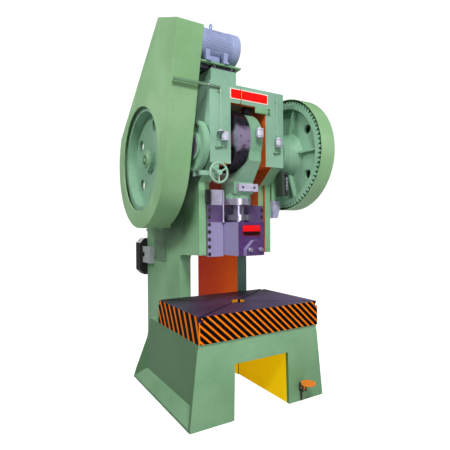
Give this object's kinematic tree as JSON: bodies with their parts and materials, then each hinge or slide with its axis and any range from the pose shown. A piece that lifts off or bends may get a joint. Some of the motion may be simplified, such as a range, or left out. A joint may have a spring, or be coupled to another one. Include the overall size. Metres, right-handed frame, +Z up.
{
  "type": "mechanical stamping press",
  "caption": "C-frame mechanical power press with guarded flywheel and gear, eccentric crank and screw rod, guided slide, slotted bolster, motor, pedal and cabinet.",
  "frame": {"origin": "on the floor, straight under the crossing of the crankshaft's axis and the slide's axis, at the centre of the four tapped levelling holes", "axes": "+X to the machine's right seen by the operator, along the crankshaft toward the gear; +Y from the operator to the back of the machine; +Z up"},
  "size_m": [1.272, 1.8134, 2.985],
  "materials": {
    "body_paint": "machine green enamel, semi-gloss, lightly grimed",
    "wheel_paint": "machine green enamel on cast iron, semi-gloss",
    "arch_paint": "yellow enamel",
    "hazard_paint": "steel plate, edges striped black and orange, top oiled dark steel",
    "plate_red": "blank red enamelled plate with a pale border",
    "bright_steel": "turned and ground steel",
    "ground_steel": "ground steel, oiled",
    "gear_steel": "cut steel, greased",
    "bronze": "cast bronze",
    "belt_rubber": "black V-belt rubber",
    "motor_paint": "blue-grey enamel",
    "pulley_iron": "turned grey iron",
    "black_paint": "black enamel",
    "box_grey": "moulded grey",
    "knob_black": "black switch knob",
    "pedal_paint": "orange enamel, worn"
  },
  "bodies": {
    "frame": {"arch_lining": "arch_paint", "base_front_plate": "body_paint", "base_side_left": "body_paint", "base_side_right": "body_paint", "bearing_bushes": "bronze", "bearing_housing_left": "body_paint", "bearing_housing_right": "body_paint", "bed_plate": "body_paint", "belt_guard": "body_paint", "bolster_plate": "hazard_paint", "brake_band": "body_paint", "clutch_latch_box": "body_paint", "clutch_rod_cover": "body_paint", "control_cabinet": "black_paint", "frame_tie_plates": "body_paint", "gear_guard": "body_paint", "gib_bolts": "bright_steel", "gib_covers": "ground_steel", "gibs": "ground_steel", "guard_bar": "body_paint", "handwheel_bracket": "body_paint", "head_cross_beam": "body_paint", "isolator_box": "box_grey", "motor_adjusters": "bright_steel", "motor_body": "motor_paint", "motor_fan_cowl": "motor_paint", "motor_plate": "body_paint", "motor_seat": "body_paint", "name_plate": "plate_red", "oil_cups": "body_paint", "pedal_bracket": "black_paint", "side_frame_left": "body_paint", "side_frame_right": "body_paint", "slide_back_guide": "ground_steel", "stop_block": "ground_steel", "v_belts": "belt_rubber"},
    "crank": {"crankshaft": "bright_steel", "stroke_ring": "bright_steel", "eccentric_bush": "bronze", "brake_drum": "wheel_paint", "gear_retainer": "bright_steel"},
    "rod": {"conrod": "body_paint", "conrod_cap": "body_paint", "clamp_plate": "bright_steel", "lock_collar": "bright_steel", "ball_screw": "bright_steel", "rod_oil_cup": "body_paint"},
    "ram": {"slide": "ground_steel", "die_clamp_cap": "ground_steel", "die_clamp_nuts": "bright_steel"},
    "gear": {"bull_gear": "wheel_paint"},
    "countershaft": {"back_shaft": "bright_steel", "pinion": "gear_steel", "flywheel": "wheel_paint"},
    "rotor": {"motor_shaft": "bright_steel", "motor_pulley": "pulley_iron"},
    "wheel": {"handwheel": "body_paint"},
    "pedal": {"foot_pedal": "pedal_paint"},
    "door": {"cabinet_door": "black_paint"},
    "knob": {"isolator_knob": "knob_black"}
  },
  "joints": [
    {"name": "crank_turn", "type": "hinge", "parent": "frame", "child": "crank", "pos_m": [0, 0, 2.01], "axis": [-1, 0, 0], "range_deg": [0, 180]},
    {"name": "rod_swing", "type": "hinge", "parent": "crank", "child": "rod", "pos_m": [0, 0, 2.07], "axis": [-1, 0, 0], "range_deg": [-180, 0]},
    {"name": "slide_stroke", "type": "slide", "parent": "frame", "child": "ram", "axis": [0, 0, 1], "range_m": [-0.12, 0]},
    {"name": "gear_spin", "type": "hinge", "parent": "frame", "child": "gear", "pos_m": [0, 0, 2.01], "axis": [1, 0, 0], "continuous": true},
    {"name": "flywheel_spin", "type": "hinge", "parent": "frame", "child": "countershaft", "pos_m": [0, 0.57474, 1.972], "axis": [1, 0, 0], "continuous": true},
    {"name": "motor_spin", "type": "hinge", "parent": "frame", "child": "rotor", "pos_m": [0, -0.075, 2.765], "axis": [1, 0, 0], "continuous": true},
    {"name": "handwheel_turn", "type": "hinge", "parent": "frame", "child": "wheel", "pos_m": [-0.301, -0.222, 1.787], "axis": [0, 1, 0], "continuous": true},
    {"name": "pedal_press", "type": "hinge", "parent": "frame", "child": "pedal", "pos_m": [0.372, -0.36352, 0.116], "axis": [1, 0, 0], "range_deg": [0, 12], "stiffness_Nm_per_rad": 60, "springref_deg": -6.88},
    {"name": "door_swing", "type": "hinge", "parent": "frame", "child": "door", "pos_m": [-0.185, 1.3264, 1.0845], "axis": [0, 0, 1], "range_deg": [-110, 0]},
    {"name": "knob_turn", "type": "hinge", "parent": "frame", "child": "knob", "pos_m": [-0.4, 1.164, 1.109], "axis": [1, 0, 0], "range_deg": [0, 90]}
  ],
  "couplings": [
    {"joint": "rod_swing", "follows": "crank_turn", "ratio": -1},
    {"joint": "slide_stroke", "follows": "crank_turn", "m_per_rad": -0.038197},
    {"joint": "flywheel_spin", "follows": "gear_spin", "ratio": -3.5714},
    {"joint": "motor_spin", "follows": "gear_spin", "ratio": -18.651}
  ]
}
